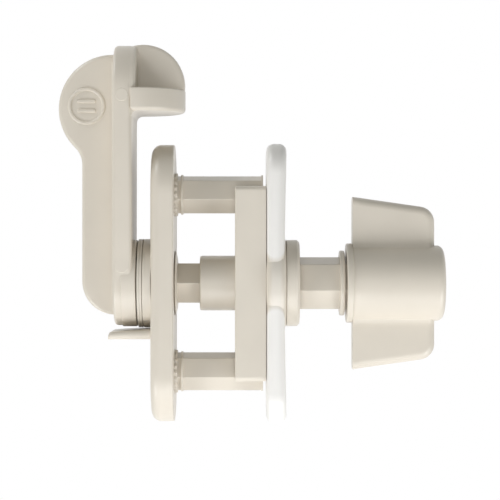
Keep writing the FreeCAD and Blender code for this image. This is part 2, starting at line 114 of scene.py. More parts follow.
SLEEVE_LEFT, SLEEVE_HEX_FROM, SLEEVE_RIGHT, SLEEVE_R = 6.36, 30.4, 53.0, 6.9
SLEEVE_HEX_AF, SLEEVE_TURN = 11.7, 14.0
LUG_LEFT, LUG_ROOT, LUG_HALF_W = -16.2, -5.6, 9.0
LUG_LOW, LUG_TIP_HIGH, LUG_ROOT_HIGH, LUG_TIP_R, LUG_TIP_TURN = -13.81, -11.99, -11.28, 0.6, 75.0
LUG_ROWS, LUG_TIP_ROWS, LUG_EDGE_POINTS = 12, 7, 14

PAD_POLE, HOOK_POLE, RIB_POLE, BLADE_POLE = 2.0, 4.0, 3.0, 8.0      # from a centre to a closing point
BURIED = 2.0            # how far inside the arm the hidden ends of pad and boss lie
SOFT, SHARP = 0.2, 0.1  # radii of a barely rounded edge and of one that looks sharp
FIN_COVE_LOW, FIN_COVE_HIGH, FIN_COVE_R, FIN_HEEL_R = -7.0, 55.5, 1.0, 0.5
HOOK_CORNER, HOOK_LOW_EDGE, HOOK_HIGH_EDGE = 0.3, 1.0, 0.35
HOOK_COVE_HALF, HOOK_COVE_R = 11.3, 1.5
RIB_SINK, RIB_TOE_SINK, RIB_FOOT_SINK, RIB_FOOT_R = 0.6, 0.5, 0.3, 0.2
RIB_COVE_RIGHT, RIB_COVE_TOP, RIB_COVE_R, RIB_BACK_COVE_R = 1.0, 57.8, 0.5, 0.6
MARK_RING_T, MARK_BAR_HALF, MARK_BAR_R, MARK_BAR_EDGE, MARK_SINK = 0.5, 1.9, 0.45, 0.3, 0.4
PIPS = ((PIN_Z, 10.72, 1.8), (46.6, 11.9, 1.6))     # height, half-width of the arm there, radius
PIP_SINK, PIP_RISE, PIP_EDGE = 1.5, 0.05, 0.12
KNOB_END_R, KNOB_FLANGE_EDGE, FLANGE_BACK_R, CHAMFER, CAP_RECESS, CAP_LIP = 1.7, 0.3, 0.35, 0.1, 2.0, 0.4
WING_BACK_R, WING_COVE_GAP, WING_COVE_SHORT, WING_COVE_START_R, WING_COVE_END_R = 0.2, 0.06, 0.4, 0.02, 1.3
WING_COVE_HEEL, WING_COVE_TOP_Y, WING_COVE_BACK_R, WING_COVE_POLE = (4.0, 4.0), 0.5, 0.1, (2.2, 8.0)
POST_CORNER, POST_ROOT, POST_STEP, POST_ROOT_EDGE = 0.3, -0.35, 0.45, 0.05
POST_END_R, POST_END_T, POST_END_EDGE = 0.7, 0.5, 0.12      # how far beyond the flats, thickness, edge
COLLAR_FROM, COLLAR_TO, COLLAR_STEP = 1.55, 2.15, 0.35
WASHER_TO, WASHER_EDGE, TOOTH_DEPTH = 0.75, 0.15, 0.28
SLEEVE_EDGE, SLEEVE_SHOULDER, SLEEVE_CORNER, SLEEVE_OVERLAP = 0.45, 0.15, 0.4, 1.0
SLEEVE_STOP_SHORT, SQUARE_STOP_SHORT = 6.0, 8.0     # how much early they end, out of sight in the knob
RING_PROFILE = ((-0.1, 1.9), (-0.1, 1.2), (0.24, 0.06), (0.3, 0.0), (0.36, 0.06), (0.7, 1.6), (0.7, 2.2))

# ---- surfaces ---------------------------------------------------------------------------
def arcs(*runs):
    """Closed outline of arcs joined by straight lines: points, outward normals, limits and mitres.

    A run is (centre u, centre v, radius, first angle, last angle) in degrees, and its points are
    centre + |radius| * (cos a, sin a). A negative radius makes a hollow arc, whose normal points
    to its centre. An inset deeper than a round corner's radius, the limit, goes on along the
    corner's mitre: its bisector over the cosine of half its angle.
    """
    points, normals, limits, mitres = [], [], [], []
    for cu, cv, radius, first, last in runs:
        count = 2 + int(abs(last - first) / ARC_STEP)
        a = np.radians(np.linspace(first, last, count))
        ray = np.stack([np.cos(a), np.sin(a)], 1)
        points.append(np.array([cu, cv]) + abs(radius) * ray)
        normals.append(ray * math.copysign(1.0, radius))
        half = math.radians(min(abs(last - first) / 2, MITRE_HALF))
        middle = math.radians((first + last) / 2)
        limits.append(np.full((count, 1), radius if radius > 0 else np.inf))
        mitres.append(np.full((count, 2), (math.cos(middle), math.sin(middle))) / math.cos(half))
    return tuple(np.concatenate(part) for part in (points, normals, limits, mitres))


def shift(outline, du, dv):
    """The outline moved by (du, dv)."""
    return (outline[0] + (du, dv), *outline[1:])


def flip(outline, u, v):
    """The outline mirrored where u or v is -1."""
    points, normals, limits, mitres = outline
    return points * (u, v), normals * (u, v), limits, mitres * (u, v)


def polygon(sides, across_flats, corner, turn):
    """Regular polygon with rounded corners: each corner is an arc about a centre that lies
    (half the width across flats - corner radius) / cos(pi / sides) from the middle."""
    step = 360.0 / sides
    reach = (across_flats / 2 - corner) / math.cos(math.pi / sides)
    runs = []
    for i in range(sides):
        mid = turn + i * step
        rad = math.radians(mid)
        runs.append((reach * math.cos(rad), reach * math.sin(rad), corner, mid - step / 2, mid + step / 2))
    return arcs(*runs)


def circle(radius, u=0.0, v=0.0, step=4.0):
    """Full circle: (u, v) + radius * (cos a, sin a), with a point every few degrees."""
    a = np.radians(np.arange(0.0, 360.0, step))
    ray = np.stack([np.cos(a), np.sin(a)], 1)
    return np.array([u, v]) + radius * ray, ray, np.full((len(a), 1), np.inf), ray


def quarter(start, inward, radius, hollow=0.0):
    """Rounded end of a profile: position start + inward * r (1 - cos a), inset r (1 - sin a)."""
    a = np.radians(np.linspace(0.0, 90.0, QUARTER_POINTS))
    turn = np.stack([start + inward * radius * (1 - np.cos(a)), hollow + radius * (1 - np.sin(a))], 1)
    flat = np.array([[start, hollow + radius + FLAT_RIM]])
    return np.concatenate([flat, turn])


def between(low, high, low_round, high_round):
    """Profile of a slab from low to high with quarter-round edges at both ends."""
    return np.concatenate([quarter(low, 1, low_round), quarter(high, -1, high_round)[::-1]])


def sweep(outline, profile, axis, middle=None, crown=0.0):
    """Closed shell: ring i is the outline moved inward by profile[i, 1] at profile[i, 0] on the axis.

    A point moves along its normal as far as its limit, and on along its mitre. Each end is closed
    by rings that shrink toward a middle point and rise by crown * (1 - f^2), where f is the ring's
    share of the full size, and by a fan of triangles at the pole.
    """
    points, normals, limits, mitres = outline
    depth = profile[:, 1, None, None]
    flat = points - np.minimum(depth, limits) * normals - np.maximum(depth - limits, 0.0) * mitres
    along = np.broadcast_to(profile[:, 0, None, None], flat.shape[:2] + (1,))
    rings = np.concatenate([along, flat], 2)
    centre = np.array(middle) if middle is not None else points.mean(0)
    share = CAP_SHARES[:, None, None]
    caps, poles = [], []
    for ring, sign in ((rings[0], -1.0), (rings[-1], 1.0)):
        grow = centre + share * (ring[None, :, 1:] - centre)
        rise = ring[None, :, :1] + sign * crown * (1 - share ** 2)
        caps.append(np.concatenate([np.broadcast_to(rise, grow.shape[:2] + (1,)), grow], 2))
        poles.append([ring[0, 0] + sign * crown, *centre])
    rings = np.concatenate([caps[0][::-1], rings, caps[1]])
    order = {"X": (0, 1, 2), "Y": (1, 0, 2), "Z": (1, 2, 0)}[axis]
    return skin(rings[:, :, order], np.array(poles)[:, order])


def skin(rings, poles):
    """Vertices and faces of a stack of closed rings: quads between rings, a fan to each end's pole."""
    rows, cols = rings.shape[:2]
    index = np.arange(rows * cols).reshape(rows, cols)
    after = np.roll(index, -1, 1)
    quads = np.stack([index[:-1], after[:-1], after[1:], index[1:]], 2).reshape(-1, 4)
    low, high = rows * cols, rows * cols + 1
    low_fan = np.stack([after[0], index[0], np.full(cols, low)], 1)
    high_fan = np.stack([index[-1], after[-1], np.full(cols, high)], 1)
    verts = np.concatenate([rings.reshape(-1, 3), poles])
    return verts, quads.tolist() + np.concatenate([low_fan, high_fan]).tolist()


def torus(centre, radius, width, height, steps=72, turns=16):
    """Ring about Y: radius + width * cos b in the plane at angle a, and height * sin b across it."""
    a = np.linspace(0, 2 * np.pi, steps, endpoint=False)[:, None]
    b = np.linspace(0, 2 * np.pi, turns, endpoint=False)[None]
    r = radius + width * np.cos(b)
    grid = np.stack([centre[0] + r * np.cos(a), centre[1] + height * np.sin(b) + 0 * a,
                     centre[2] + r * np.sin(a)], 2)
    index = np.arange(steps * turns).reshape(steps, turns)
    side = np.roll(index, -1, 1)
    quads = np.stack([index, side, np.roll(side, -1, 0), np.roll(index, -1, 0)], 2)
    return grid.reshape(-1, 3), quads.reshape(-1, 4).tolist()


def cove(start, end, side_a, side_b, radius):
    """Hollow corner strip: the quarter circle radius * ((1 - cos t) * a + (1 - sin t) * b) from
    the corner, carried from start to end, with its back sunk into the pieces it joins."""
    a, b = np.array(side_a, float), np.array(side_b, float)
    turn = np.radians(np.linspace(90.0, 0.0, COVE_POINTS))[:, None]
    hollow = radius * ((1 - np.cos(turn)) * a + (1 - np.sin(turn)) * b)
    sunk = -COVE_SINK * (a + b)
    section = np.concatenate([[sunk], [radius * a - COVE_SINK * b], hollow, [radius * b - COVE_SINK * a]])
    ends = np.array([start, end], float)
    return skin(ends[:, None] + section, ends)


def outward(verts, faces):
    """The faces turned to point out, by the sign of the volume they enclose."""
    first = verts[[f[0] for f in faces]]
    second = verts[[f[1] for f in faces]]
    third = verts[[f[2] for f in faces]]
    last = verts[[f[-1] for f in faces]]
    volume = np.einsum("ij,ij->i", first, np.cross(second, third) + np.cross(third, last)).sum()
    return faces if volume > 0 else [f[::-1] for f in faces]


def piece(name, shells, body, slot, look, *nodes):
    """One object from closed shells in millimetres, riding on a body in place of CAD nodes."""
    verts, faces, base = [], [], 0
    for shell_verts, shell_faces in shells:
        turned = outward(shell_verts, shell_faces)
        faces += [[i + base for i in f] for f in turned]
        verts.append(shell_verts)
        base += len(shell_verts)
    mesh = bpy.data.meshes.new(name)
    mesh.from_pydata((np.concatenate(verts) * MM).tolist(), [], faces)
    mesh.shade_smooth()
    mesh.set_sharp_from_angle(angle=math.radians(CREASE))
    mesh.materials.append(look)
    obj = bpy.data.objects.new(name, mesh)
    bpy.context.scene.collection.objects.link(obj)
    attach(obj, body)
    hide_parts(*nodes)


# ---- materials ------------------------------------------------------------------------
def new_material(name):
    """A new node material, its node tree and its principled shader."""
    mat = bpy.data.materials.new(name)
    mat.use_nodes = True
    return mat, mat.node_tree, mat.node_tree.nodes["Principled BSDF"]


def noise(tree, coords, scale, detail=3.0, roughness=0.5):
    """Noise texture at a scale in cells per metre."""
    tex = tree.nodes.new("ShaderNodeTexNoise")
    tex.inputs["Scale"].default_value = scale
    tex.inputs["Detail"].default_value = detail
    tex.inputs["Roughness"].default_value = roughness
    tree.links.new(coords, tex.inputs["Vector"])
    return tex.outputs["Fac"]


def spread(tree, value, low, high):
    """Maps the middle of a noise's range onto low..high."""
    node = tree.nodes.new("ShaderNodeMapRange")
    node.inputs["From Min"].default_value = 0.3
    node.inputs["From Max"].default_value = 0.7
    node.inputs["To Min"].default_value = low
    node.inputs["To Max"].default_value = high
    tree.links.new(value, node.inputs["Value"])
    return node.outputs["Result"]


def mix_colour(tree, factor, low, high):
    """Blend of two colours by a factor."""
    node = tree.nodes.new("ShaderNodeMix")
    node.data_type = "RGBA"
    node.inputs["A"].default_value = (*low, 1.0)
    node.inputs["B"].default_value = (*high, 1.0)
    tree.links.new(factor, node.inputs["Factor"])
    return node.outputs["Result"]


def bump(tree, height, distance, strength, normal=None):
    """Bump from a height, on top of another normal if one is given."""
    node = tree.nodes.new("ShaderNodeBump")
    node.inputs["Distance"].default_value = distance
    node.inputs["Strength"].default_value = strength
    tree.links.new(height, node.inputs["Height"])
    if normal is not None:
        tree.links.new(normal, node.inputs["Normal"])
    return node.outputs["Normal"]


def shade(colour, amount):
    """The colour made lighter or darker."""
    return tuple(min(1.0, c * amount) for c in colour)


def hub_mask(tree, coords, radius):
    """0 within the radius about the X axis and 1 outside it, with a narrow soft edge."""
    flat = tree.nodes.new("ShaderNodeVectorMath")
    flat.operation = "MULTIPLY"
    flat.inputs[1].default_value = (0.0, 1.0, 1.0)
    tree.links.new(coords, flat.inputs[0])
    length = tree.nodes.new("ShaderNodeVectorMath")
    length.operation = "LENGTH"
    tree.links.new(flat.outputs["Vector"], length.inputs[0])
    edge = tree.nodes.new("ShaderNodeMapRange")
    edge.inputs["From Min"].default_value = radius
    edge.inputs["From Max"].default_value = radius * HUB_FADE
    tree.links.new(length.outputs["Value"], edge.inputs["Value"])
    return edge.outputs["Result"]


def moulded(name, colour, grain, gloss, highlight_colour=None):
    """Satin moulded plastic: soft flow mottling, a fine spark-eroded grain and faint scuffs.

    With a highlight colour, the surface takes that lighter colour outside the hub's swelling: a painted
    highlight that stands in for strong light on the plate's sides.
    """
    mat, tree, bsdf = new_material(name)
    coords = tree.nodes.new("ShaderNodeTexCoord").outputs["Object"]
    flow = spread(tree, noise(tree, coords, FLOW_CELLS, 4.0), 0.0, 1.0)
    colour_out = mix_colour(tree, flow, shade(colour, MOTTLE[0]), shade(colour, MOTTLE[1]))
    # Painted highlight: outside the hub the colour turns lighter, in place of the strong light that falls
    # on the plate's sides.
    if highlight_colour is not None:
        rim = mix_colour(tree, flow, shade(highlight_colour, HIGHLIGHT_MOTTLE[0]), shade(highlight_colour, HIGHLIGHT_MOTTLE[1]))
        both = tree.nodes.new("ShaderNodeMix")
        both.data_type = "RGBA"
        tree.links.new(hub_mask(tree, coords, HUB_RADIUS), both.inputs["Factor"])
        tree.links.new(colour_out, both.inputs["A"])
        tree.links.new(rim, both.inputs["B"])
        colour_out = both.outputs["Result"]
    tree.links.new(colour_out, bsdf.inputs["Base Color"])
    scuff = noise(tree, coords, SCUFF_CELLS, 5.0, 0.62)
    tree.links.new(spread(tree, scuff, gloss - 0.05, gloss + 0.06), bsdf.inputs["Roughness"])
    waves = bump(tree, noise(tree, coords, WAVE_CELLS, 2.0), WAVE_RELIEF, 0.35)
    fine = bump(tree, noise(tree, coords, GRAIN_CELLS, 3.0, 0.6), GRAIN_RELIEF, grain, waves)
    tree.links.new(fine, bsdf.inputs["Normal"])
    bsdf.inputs["Specular IOR Level"].default_value = 0.5
    bsdf.inputs["Coat Weight"].default_value = COAT_WEIGHT
    bsdf.inputs["Coat Roughness"].default_value = COAT_ROUGHNESS
    return mat


def machined(name, colour, rough):
    """Bright metal with turning lines across X and a light mottling."""
    mat, tree, bsdf = new_material(name)
    coords = tree.nodes.new("ShaderNodeTexCoord").outputs["Object"]
    flow = noise(tree, coords, DULL_CELLS, 4.0)
    tree.links.new(mix_colour(tree, flow, shade(colour, DULL), colour), bsdf.inputs["Base Color"])
    stretch = tree.nodes.new("ShaderNodeMapping")
    stretch.inputs["Scale"].default_value = (TURNED_SQUEEZE, 1.0, 1.0)
    tree.links.new(coords, stretch.inputs["Vector"])
    lines = noise(tree, stretch.outputs["Vector"], TURNED_CELLS, 3.0)
    tree.links.new(spread(tree, lines, rough - 0.06, rough + 0.1), bsdf.inputs["Roughness"])
    tree.links.new(bump(tree, lines, TURNED_RELIEF, 0.4), bsdf.inputs["Normal"])
    bsdf.inputs["Metallic"].default_value = 1.0
    return mat


# ---- sizes and colours a user may change ------------------------------------------------
class LatchSettings(PropertyGroup):
    """Colours, finish and light of the latch."""
    almond: FloatVectorProperty(
        name="Almond", description="Colour of the moulded pieces", subtype="COLOR",
        default=(0.733, 0.672, 0.577), min=0.0, max=1.0)
    # A painted highlight: this lighter colour outside the hub stands in for strong light on the plate's
    # sides, not the plastic's own colour.
    painted_highlight_colour: FloatVectorProperty(
        name="Cream", description="Colour of the knob-side plate outside its hub", subtype="COLOR",
        default=(0.93, 0.91, 0.875), min=0.0, max=1.0)
    gloss: FloatProperty(
        name="Roughness", description="Roughness of the moulded surface", default=0.42, min=0.0, max=1.0)
    grain: FloatProperty(
        name="Grain", description="Strength of the fine moulded grain", default=0.25, min=0.0, max=1.0)
    camera_distance: FloatProperty(
        name="Camera distance", description="From the lens to the latch's middle plane",
        default=0.4592, unit="LENGTH")
    sky_light: FloatProperty(
        name="Sky light", description="Light from all round, above the floor", default=0.22, min=0.0)
    lamp_colour: FloatVectorProperty(
        name="Lamp colour", description="Colour of the lamps' light", default=(0.965, 0.975, 1.0),
        subtype="COLOR", min=0.0, max=1.0)
    sky_colour: FloatVectorProperty(
        name="Sky colour", description="Tint of the light from all round", subtype="COLOR",
        default=(0.98, 1.0, 0.93), min=0.0, max=1.0)
    key_light: FloatProperty(
        name="Key light", description="Power of the lamp below and in front, in watts",
        default=0.235, min=0.0)
    low_light: FloatProperty(
        name="Low light", description="Power of each lamp low at the side, in watts", default=0.49, min=0.0)
    front_light: FloatProperty(
        name="Front light", description="Power of the lamp in front, in watts", default=0.125, min=0.0)
    head_light: FloatProperty(
        name="Head light", description="Power of the small lamp over the lever's head, in watts",
        default=0.083, min=0.0)
    floor_light: FloatProperty(
        name="Floor light", description="Glow of the floor in view and in reflections",
        default=0.75, min=0.0)
    floor_size: FloatProperty(
        name="Floor size", description="Side of the floor", default=4.0, unit="LENGTH")
    floor_drop: FloatProperty(
        name="Floor drop", description="From the latch's lowest point to the floor", default=0.3,
        unit="LENGTH")
    view_height: FloatProperty(
        name="View height", description="Height of the latch's plane that fills the frame",
        default=0.12615, unit="LENGTH")
    view_x: FloatProperty(
        name="View centre X", description="Centre of the view along the spindle",
        default=0.01892, unit="LENGTH")
    view_z: FloatProperty(
        name="View centre Z", description="Centre of the view above the spindle",
        default=0.00833, unit="LENGTH")


def settings():
    """The settings held by the scene."""
    return bpy.context.scene.latch_settings


def looks():
    """The finished materials by slot, and one by its node's name, made on first use."""
    if not LOOKS:
        s = settings()
        LOOKS.update({
            "lever_plastic": moulded("lever plastic", s.almond, s.grain, s.gloss),
            "plate_plastic": moulded("plate plastic", s.almond, s.grain, s.gloss),
            # This plate's material carries the painted highlight outside its hub.
            "knob_side_plate": moulded("plate plastic painted highlight", s.almond, s.grain, s.gloss, s.painted_highlight_colour),
            "knob_plastic": moulded("knob plastic", s.almond, s.grain, s.gloss),
            "bush_plastic": moulded("bush plastic", s.almond, s.grain, s.gloss),
            "coated_steel": moulded("coated steel", s.almond, s.grain * 0.6, s.gloss - 0.04),
            "steel": machined("bright steel", (0.62, 0.62, 0.61), 0.3),
            "brass": machined("insert brass", (0.78, 0.62, 0.32), 0.28),
        })
    return LOOKS


# ---- pieces and their operators -----------------------------------------------------------
def lever_arm():
    """Tapered arm with round ends, the pad that thickens its head, and the boss at its foot."""
    lean = math.degrees(math.asin((ARM_HEAD_R - ARM_FOOT_R) / ARM_HEAD_Z))
    outline = arcs((0.0, ARM_HEAD_Z, ARM_HEAD_R, -lean, 180 + lean),
                   (0.0, 0.0, ARM_FOOT_R, 180 + lean, 360 - lean))
    arm = sweep(outline, between(ARM_LEFT, ARM_RIGHT, ARM_EDGE, ARM_EDGE), "X", (0.0, ARM_HEAD_Z / 2))
    low = math.degrees(math.asin((PAD_LOW - ARM_HEAD_Z) / PAD_R))
    pad = sweep(arcs((0.0, ARM_HEAD_Z, PAD_R, low, 180 - low)),
                between(ARM_LEFT + BURIED, PAD_RIGHT, SOFT, ARM_EDGE), "X", (0.0, ARM_HEAD_Z + PAD_POLE))
    boss = sweep(circle(BOSS_R), between(ARM_LEFT + BURIED, BOSS_END, SOFT, BOSS_EDGE), "X")
    return [arm, pad, boss]


def lever_fin():
    """Thumb fin with crowned sides and coves at the arm.

    Its outline is a round head, a hollow neck whose arc touches the head's, a straight stem and a
    round foot.
    """
    neck_x = FIN_STEM_X - FIN_NECK_R
    drop = math.sqrt((FIN_HEAD_R + FIN_NECK_R) ** 2 - (FIN_HEAD_X - neck_x) ** 2)
    turn = math.degrees(math.atan2(drop, FIN_HEAD_X - neck_x))
    top = math.degrees(math.acos((FIN_BACK - FIN_HEAD_X) / FIN_HEAD_R))
    foot_r = FIN_FOOT_X - FIN_STEM_X
    outline = arcs(
        (FIN_HEAD_X, FIN_HEAD_Z, FIN_HEAD_R, top, 180 + turn),
        (neck_x, FIN_HEAD_Z - drop, -FIN_NECK_R, turn, 0.0),
        (FIN_FOOT_X, FIN_FOOT_Z, foot_r, 180.0, 270.0),
        (FIN_BACK - FIN_HEEL_R, FIN_FOOT_Z - foot_r + FIN_HEEL_R, FIN_HEEL_R, 270.0, 360.0))
    fin = sweep(outline, between(-FIN_T / 2, FIN_T / 2, FIN_EDGE, FIN_EDGE), "Y", FIN_MIDDLE, FIN_CROWN)
    coves = []
    for side in (-1.0, 1.0):
        line = (ARM_LEFT, side * FIN_T / 2)
        coves.append(cove((*line, FIN_COVE_LOW), (*line, FIN_COVE_HIGH),
                          (-1, 0, 0), (0, side, 0), FIN_COVE_R))
    return [fin, *coves]


def lever_hook():
    """Half-round shelf, its rib with a rounded rim, and the coves along the lines where they join."""
    shelf = sweep(
        arcs((HOOK_X, 0.0, HOOK_R, -90.0, 90.0),
             (ARM_RIGHT, HOOK_R - HOOK_CORNER, HOOK_CORNER, 90.0, 180.0),
             (ARM_RIGHT, HOOK_CORNER - HOOK_R, HOOK_CORNER, 180.0, 270.0)),
        between(HOOK_LOW, HOOK_HIGH, HOOK_LOW_EDGE, HOOK_HIGH_EDGE), "Z", (HOOK_X + HOOK_POLE, 0.0))
    back = ARM_RIGHT - RIB_SINK
    low = math.degrees(math.asin((HOOK_HIGH - RIB_TOE_SINK - RIB_Z) / RIB_R))
    top = math.degrees(math.acos((back - RIB_X) / RIB_R))
    rib = sweep(arcs((RIB_X, RIB_Z, RIB_R, low, top),
                     (back + RIB_FOOT_R, HOOK_HIGH - RIB_FOOT_SINK, RIB_FOOT_R, 180.0, 270.0)),
                between(-RIB_T / 2, RIB_T / 2, RIB_EDGE, RIB_EDGE), "Y",
                (RIB_X + RIB_POLE, RIB_Z + RIB_POLE))
    coves = [cove((ARM_RIGHT, -HOOK_COVE_HALF, HOOK_LOW), (ARM_RIGHT, HOOK_COVE_HALF, HOOK_LOW),
                  (1, 0, 0), (0, 0, -1), HOOK_COVE_R)]
    for side in (-1.0, 1.0):
        y = side * RIB_T / 2
        start = (PAD_RIGHT, y, HOOK_HIGH)
        coves.append(cove(start, (RIB_COVE_RIGHT, y, HOOK_HIGH), (0, side, 0), (0, 0, 1), RIB_COVE_R))
        coves.append(cove(start, (PAD_RIGHT, y, RIB_COVE_TOP), (0, side, 0), (1, 0, 0), RIB_BACK_COVE_R))
    return [shelf, rib, *coves]


def lever_mark():
    """Plain raised ring with two bars on each side of the fin, and the mould's pips on the arm."""
    shells = []
    for side in (-1.0, 1.0):
        y = side * FIN_T / 2
        shells.append(torus((MARK_X, y, MARK_Z), MARK_R, MARK_RING_T, MARK_RISE))
        for dz in (-MARK_BAR_Z, MARK_BAR_Z):
            z = MARK_Z + dz
            bar = arcs((MARK_X + MARK_BAR_HALF, z, MARK_BAR_R, -90.0, 90.0),
                       (MARK_X - MARK_BAR_HALF, z, MARK_BAR_R, 90.0, 270.0))
            ends = sorted((y - side * MARK_SINK, y + side * MARK_RISE))
            shells.append(sweep(bar, between(*ends, MARK_BAR_EDGE, MARK_BAR_EDGE), "Y"))
        for z, half, radius in PIPS:
            ends = sorted((side * (half - PIP_SINK), side * (half + PIP_RISE)))
            shells.append(sweep(circle(radius, PIN_X, z), between(*ends, PIP_EDGE, PIP_EDGE), "Y"))
    return shells


class LATCH_OT_lever(Operator):
    """Build the hook lever: arm, thumb fin, hook, boss and raised mark"""
    bl_idname = "latch.lever"
    bl_label = "Hook lever"

    def execute(self, context):
        shells = lever_arm() + lever_fin() + lever_hook() + lever_mark()
        piece("hook_lever_moulding", shells, "spindle", "lever_plastic", looks()["lever_plastic"],
              "hook_lever", "pin_plugs")
        return {"FINISHED"}


def knob_body():
    """Turned body: flange, barrel, rounded end and the recess that holds the cap."""
    barrel = KNOB_FLANGE_R - KNOB_R
    recess = KNOB_FLANGE_R - CAP_R
    profile = np.concatenate([
        quarter(KNOB_LEFT, 1, KNOB_FLANGE_EDGE),
        [(KNOB_WING_X - FLANGE_BACK_R, 0.0), (KNOB_WING_X - CHAMFER, CHAMFER), (KNOB_WING_X, FLANGE_BACK_R),
         (KNOB_WING_X + CHAMFER, barrel)],
        quarter(KNOB_RIGHT, -1, KNOB_END_R, barrel)[::-1],
        [(KNOB_RIGHT, recess - CAP_LIP), (KNOB_RIGHT - CHAMFER, recess - CHAMFER),
         (KNOB_RIGHT - CAP_LIP, recess), (KNOB_RIGHT - CAP_RECESS, recess)]])
    return sweep(circle(KNOB_FLANGE_R), profile, "X", (0.0, 0.0))


def knob_wings():
    """Two wings in one blade whose side edges are rounded, and coves that run into the barrel.

    A cove leaves the wing's face along a wide hollow arc and goes on along a tight one, which
    touches the barrel's circle. The centres of both arcs lie on one line through the point where
    they meet.
    """
    slope = math.degrees(math.atan2(WING_HALF - WING_TIP_HALF, WING_RIGHT - WING_CORNER - KNOB_WING_X))
    corner = WING_RIGHT - WING_CORNER
    high = WING_TIP_HALF - WING_CORNER
    back_x = KNOB_WING_X + WING_BACK_R
    back_z = WING_HALF - WING_BACK_R
    points, normals, limits, mitres = arcs(
        (corner, high, WING_CORNER, 0.0, 90.0 - slope),
        (back_x, back_z, WING_BACK_R, 90.0 - slope, 180.0),
        (back_x, -back_z, WING_BACK_R, 180.0, 270.0 + slope),
        (corner, -high, WING_CORNER, 270.0 + slope, 360.0))
    # The inner end moves inward only along Z, so the whole blade reaches the flange.
    inner_end = normals[:, 0] < -0.2
    normals[inner_end] = np.sign(points[inner_end]) * (0.0, 1.0)
    limits[inner_end] = np.inf
    profile = between(-WING_T / 2, WING_T / 2, WING_ROUND, WING_ROUND)
    shells = [sweep((points, normals, limits, mitres), profile, "Y", (corner - BLADE_POLE, 0.0))]
    step = COVE_WIDE_R - COVE_TIGHT_R
    turn = math.radians(COVE_TURN)
    tight_y = WING_T / 2 + COVE_WIDE_R - step * math.cos(turn)
    tight_z = math.sqrt((KNOB_R + COVE_TIGHT_R) ** 2 - tight_y ** 2)
    wide_z = tight_z + step * math.sin(turn)
    end = 180.0 + math.degrees(math.atan2(tight_z, tight_y))
    outline = arcs((WING_T / 2 + COVE_WIDE_R, wide_z, -COVE_WIDE_R, 180.0, 180.0 + COVE_TURN),
                   (tight_y, tight_z, -COVE_TIGHT_R, 180.0 + COVE_TURN, end),
                   (*WING_COVE_HEEL, WING_COVE_BACK_R, 300.0, 240.0),
                   (WING_COVE_TOP_Y, wide_z - WING_COVE_BACK_R, WING_COVE_BACK_R, 180.0, 90.0))
    profile = between(KNOB_WING_X + WING_COVE_GAP, WING_RIGHT - WING_COVE_SHORT,
                      WING_COVE_START_R, WING_COVE_END_R)
    for side_y in (-1.0, 1.0):
        for side_z in (-1.0, 1.0):
            pole = (side_y * WING_COVE_POLE[0], side_z * WING_COVE_POLE[1])
            shells.append(sweep(flip(outline, side_y, side_z), profile, "X", pole))
    return shells


class LATCH_OT_knob(Operator):
    """Build the knob with its body, wings and coves, and the thin ring behind its flange"""
    bl_idname = "latch.knob"
    bl_label = "Winged knob"

    def execute(self, context):
        piece("winged_knob", [knob_body(), *knob_wings()], "spindle", "knob_plastic",
              looks()["knob_plastic"], "knob")
        neck = sweep(circle(NECK_R), between(NECK_LEFT, NECK_RIGHT, NECK_EDGE, NECK_EDGE), "X")
        piece("neck_collar", [neck], "spindle", "coated_steel", looks()["coated_steel"], "neck_ring")
        return {"FINISHED"}


def hex_post(z):
    """Hexagonal bar, the collar near its root and the wider disc at its end."""
    hexagon = shift(polygon(6, POST_AF, POST_CORNER, 90.0 - POST_TURN), 0.0, z)
    bar = sweep(hexagon, between(POST_ROOT, POST_END - POST_STEP, POST_ROOT_EDGE, SHARP), "X", (0.0, z))
    collar = sweep(circle(COLLAR_R - COLLAR_STEP, 0.0, z), between(COLLAR_FROM, COLLAR_TO, SOFT, SOFT), "X")
    end = sweep(circle(POST_AF / 2 + POST_END_R, 0.0, z),
                between(POST_END - POST_END_T, POST_END, POST_END_EDGE, POST_END_EDGE), "X")
    return [bar, collar, end]


def star_washer(z):
    """Toothed washer: its radius is cut by depth * (0.5 - 0.5 * cos(teeth * angle))."""
    points, normals, limits, mitres = circle(COLLAR_R, 0.0, z, 2.0)
    a = np.arctan2(normals[:, 1], normals[:, 0])
    tooth = TOOTH_DEPTH * (0.5 - 0.5 * np.cos(TEETH * a))
    ring = (points - normals * tooth[:, None], normals, limits, mitres)
    return [sweep(ring, between(POST_ROOT, WASHER_TO, WASHER_EDGE, WASHER_EDGE), "X", (0.0, z))]


class LATCH_OT_posts(Operator):
    """Build the two hexagonal posts with their toothed washers"""
    bl_idname = "latch.posts"
    bl_label = "Posts"

    def execute(self, context):
        for side, z in (("upper", POST_Z), ("lower", -POST_Z)):
            piece(side + "_hex_post", hex_post(z), "lever_side", "coated_steel",
                  looks()["coated_steel"], side + "_post")
            piece(side + "_star_washer", star_washer(z), "lever_side", "coated_steel",
                  looks()["coated_steel"], side + "_toothed_washer")
        return {"FINISHED"}


